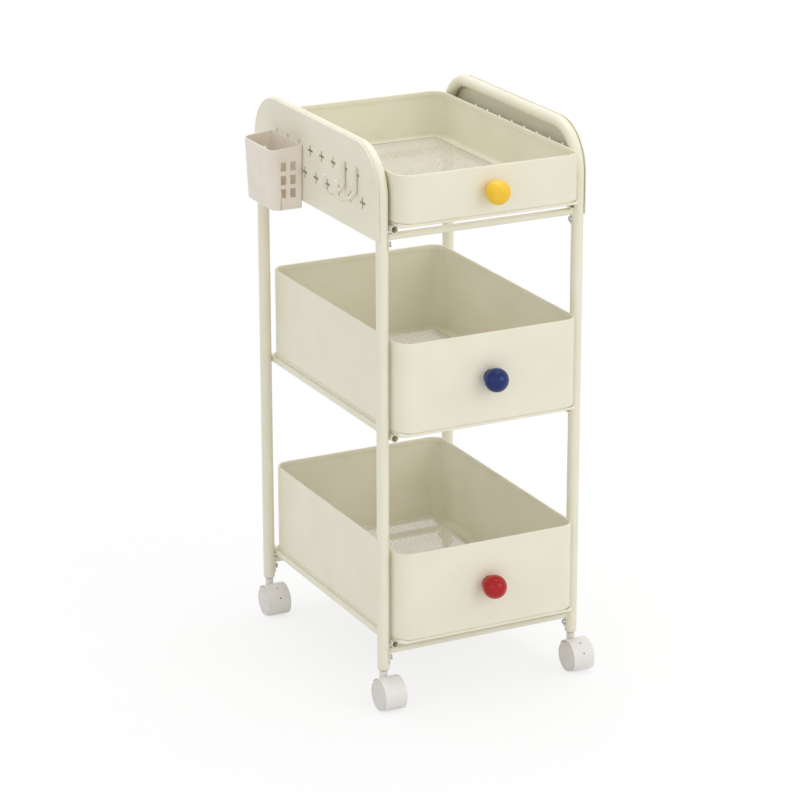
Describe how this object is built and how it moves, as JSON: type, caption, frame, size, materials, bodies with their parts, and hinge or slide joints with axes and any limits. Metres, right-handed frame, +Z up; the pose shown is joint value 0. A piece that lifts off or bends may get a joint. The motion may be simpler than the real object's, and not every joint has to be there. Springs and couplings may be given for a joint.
{
  "type": "rolling storage cart",
  "caption": "Rolling storage cart with pull-out sheet-metal bins, ball knobs, bent-tube side frames, slotted side panels, a hung pen cup and hooks, and swivel casters.",
  "frame": {"origin": "on the floor, midway between the four posts", "axes": "+Z up, -Y to the front where the knobs are, -X to the side that the pen cup and hooks hang on"},
  "size_m": [0.3746, 0.4595, 0.8],
  "materials": {
    "frame_paint": "satin cream powder coat",
    "panel_paint": "satin cream powder coat",
    "bin_paint": "satin cream powder coat",
    "mesh_paint": "satin cream powder coat on expanded mesh",
    "screw_steel": "zinc-plated",
    "red_knob": "gloss",
    "blue_knob": "gloss",
    "yellow_knob": "semi-gloss",
    "cup_plastic": "satin moulded",
    "hook_plastic": "satin moulded",
    "socket_plastic": "satin moulded",
    "caster_plastic": "satin moulded",
    "wheel_plastic": "satin moulded"
  },
  "bodies": {
    "cart_frame": {"left_side_frame": "frame_paint", "left_peg_panel": "panel_paint", "left_rail_bottom": "frame_paint", "left_rail_middle": "frame_paint", "left_rail_top": "frame_paint", "right_side_frame": "frame_paint", "right_peg_panel": "panel_paint", "right_rail_bottom": "frame_paint", "right_rail_middle": "frame_paint", "right_rail_top": "frame_paint", "front_bar_bottom": "frame_paint", "rear_bar_bottom": "frame_paint", "front_bar_top": "frame_paint", "rear_bar_top": "frame_paint", "cross_bar_screws": "screw_steel", "front_left_socket": "socket_plastic", "front_left_stem": "screw_steel", "front_right_socket": "socket_plastic", "front_right_stem": "screw_steel", "rear_left_socket": "socket_plastic", "rear_left_stem": "screw_steel", "rear_right_socket": "socket_plastic", "rear_right_stem": "screw_steel"},
    "bottom_bin": {"bottom_bin_tub": "bin_paint", "bottom_bin_floor": "mesh_paint", "bottom_bin_wire": "bin_paint", "bottom_knob": "red_knob", "bottom_knob_screw": "screw_steel"},
    "middle_bin": {"middle_bin_tub": "bin_paint", "middle_bin_floor": "mesh_paint", "middle_bin_wire": "bin_paint", "middle_knob": "blue_knob", "middle_knob_screw": "screw_steel"},
    "top_bin": {"top_bin_tub": "bin_paint", "top_bin_floor": "mesh_paint", "top_bin_wire": "bin_paint", "top_knob": "yellow_knob", "top_knob_screw": "screw_steel"},
    "hung_pen_cup": {"pen_cup": "cup_plastic"},
    "hung_front_hook": {"front_hook": "hook_plastic"},
    "hung_rear_hook": {"rear_hook": "hook_plastic"},
    "front_left_caster": {"front_left_fork": "caster_plastic", "front_left_axle": "screw_steel"},
    "front_left_left_roller": {"front_left_left_wheel": "wheel_plastic"},
    "front_left_right_roller": {"front_left_right_wheel": "wheel_plastic"},
    "front_right_caster": {"front_right_fork": "caster_plastic", "front_right_axle": "screw_steel"},
    "front_right_left_roller": {"front_right_left_wheel": "wheel_plastic"},
    "front_right_right_roller": {"front_right_right_wheel": "wheel_plastic"},
    "rear_left_caster": {"rear_left_fork": "caster_plastic", "rear_left_axle": "screw_steel"},
    "rear_left_left_roller": {"rear_left_left_wheel": "wheel_plastic"},
    "rear_left_right_roller": {"rear_left_right_wheel": "wheel_plastic"},
    "rear_right_caster": {"rear_right_fork": "caster_plastic", "rear_right_axle": "screw_steel"},
    "rear_right_left_roller": {"rear_right_left_wheel": "wheel_plastic"},
    "rear_right_right_roller": {"rear_right_right_wheel": "wheel_plastic"}
  },
  "joints": [
    {"name": "bottom_bin_slide", "type": "slide", "parent": "cart_frame", "child": "bottom_bin", "axis": [0, -1, 0], "range_m": [0, 0.15]},
    {"name": "middle_bin_slide", "type": "slide", "parent": "cart_frame", "child": "middle_bin", "axis": [0, -1, 0], "range_m": [0, 0.15]},
    {"name": "top_bin_slide", "type": "slide", "parent": "cart_frame", "child": "top_bin", "axis": [0, -1, 0], "range_m": [0, 0.15]},
    {"name": "pen_cup_lift", "type": "slide", "parent": "cart_frame", "child": "hung_pen_cup", "axis": [0, 0, 1], "range_m": [0, 0.009]},
    {"name": "front_hook_lift", "type": "slide", "parent": "cart_frame", "child": "hung_front_hook", "axis": [0, 0, 1], "range_m": [0, 0.009]},
    {"name": "rear_hook_lift", "type": "slide", "parent": "cart_frame", "child": "hung_rear_hook", "axis": [0, 0, 1], "range_m": [0, 0.009]},
    {"name": "front_left_swivel", "type": "hinge", "parent": "cart_frame", "child": "front_left_caster", "pos_m": [-0.15, -0.192, 0.045], "axis": [0, 0, 1], "continuous": true},
    {"name": "front_left_left_spin", "type": "hinge", "parent": "front_left_caster", "child": "front_left_left_roller", "pos_m": [-0.16225, -0.21, 0.022], "axis": [1, 0, 0], "continuous": true},
    {"name": "front_left_right_spin", "type": "hinge", "parent": "front_left_caster", "child": "front_left_right_roller", "pos_m": [-0.13775, -0.21, 0.022], "axis": [1, 0, 0], "continuous": true},
    {"name": "front_right_swivel", "type": "hinge", "parent": "cart_frame", "child": "front_right_caster", "pos_m": [0.15, -0.192, 0.045], "axis": [0, 0, 1], "continuous": true},
    {"name": "front_right_left_spin", "type": "hinge", "parent": "front_right_caster", "child": "front_right_left_roller", "pos_m": [0.13775, -0.21, 0.022], "axis": [1, 0, 0], "continuous": true},
    {"name": "front_right_right_spin", "type": "hinge", "parent": "front_right_caster", "child": "front_right_right_roller", "pos_m": [0.16225, -0.21, 0.022], "axis": [1, 0, 0], "continuous": true},
    {"name": "rear_left_swivel", "type": "hinge", "parent": "cart_frame", "child": "rear_left_caster", "pos_m": [-0.15, 0.192, 0.045], "axis": [0, 0, 1], "continuous": true},
    {"name": "rear_left_left_spin", "type": "hinge", "parent": "rear_left_caster", "child": "rear_left_left_roller", "pos_m": [-0.16225, 0.174, 0.022], "axis": [1, 0, 0], "continuous": true},
    {"name": "rear_left_right_spin", "type": "hinge", "parent": "rear_left_caster", "child": "rear_left_right_roller", "pos_m": [-0.13775, 0.174, 0.022], "axis": [1, 0, 0], "continuous": true},
    {"name": "rear_right_swivel", "type": "hinge", "parent": "cart_frame", "child": "rear_right_caster", "pos_m": [0.15, 0.192, 0.045], "axis": [0, 0, 1], "continuous": true},
    {"name": "rear_right_left_spin", "type": "hinge", "parent": "rear_right_caster", "child": "rear_right_left_roller", "pos_m": [0.13775, 0.174, 0.022], "axis": [1, 0, 0], "continuous": true},
    {"name": "rear_right_right_spin", "type": "hinge", "parent": "rear_right_caster", "child": "rear_right_right_roller", "pos_m": [0.16225, 0.174, 0.022], "axis": [1, 0, 0], "continuous": true}
  ]
}
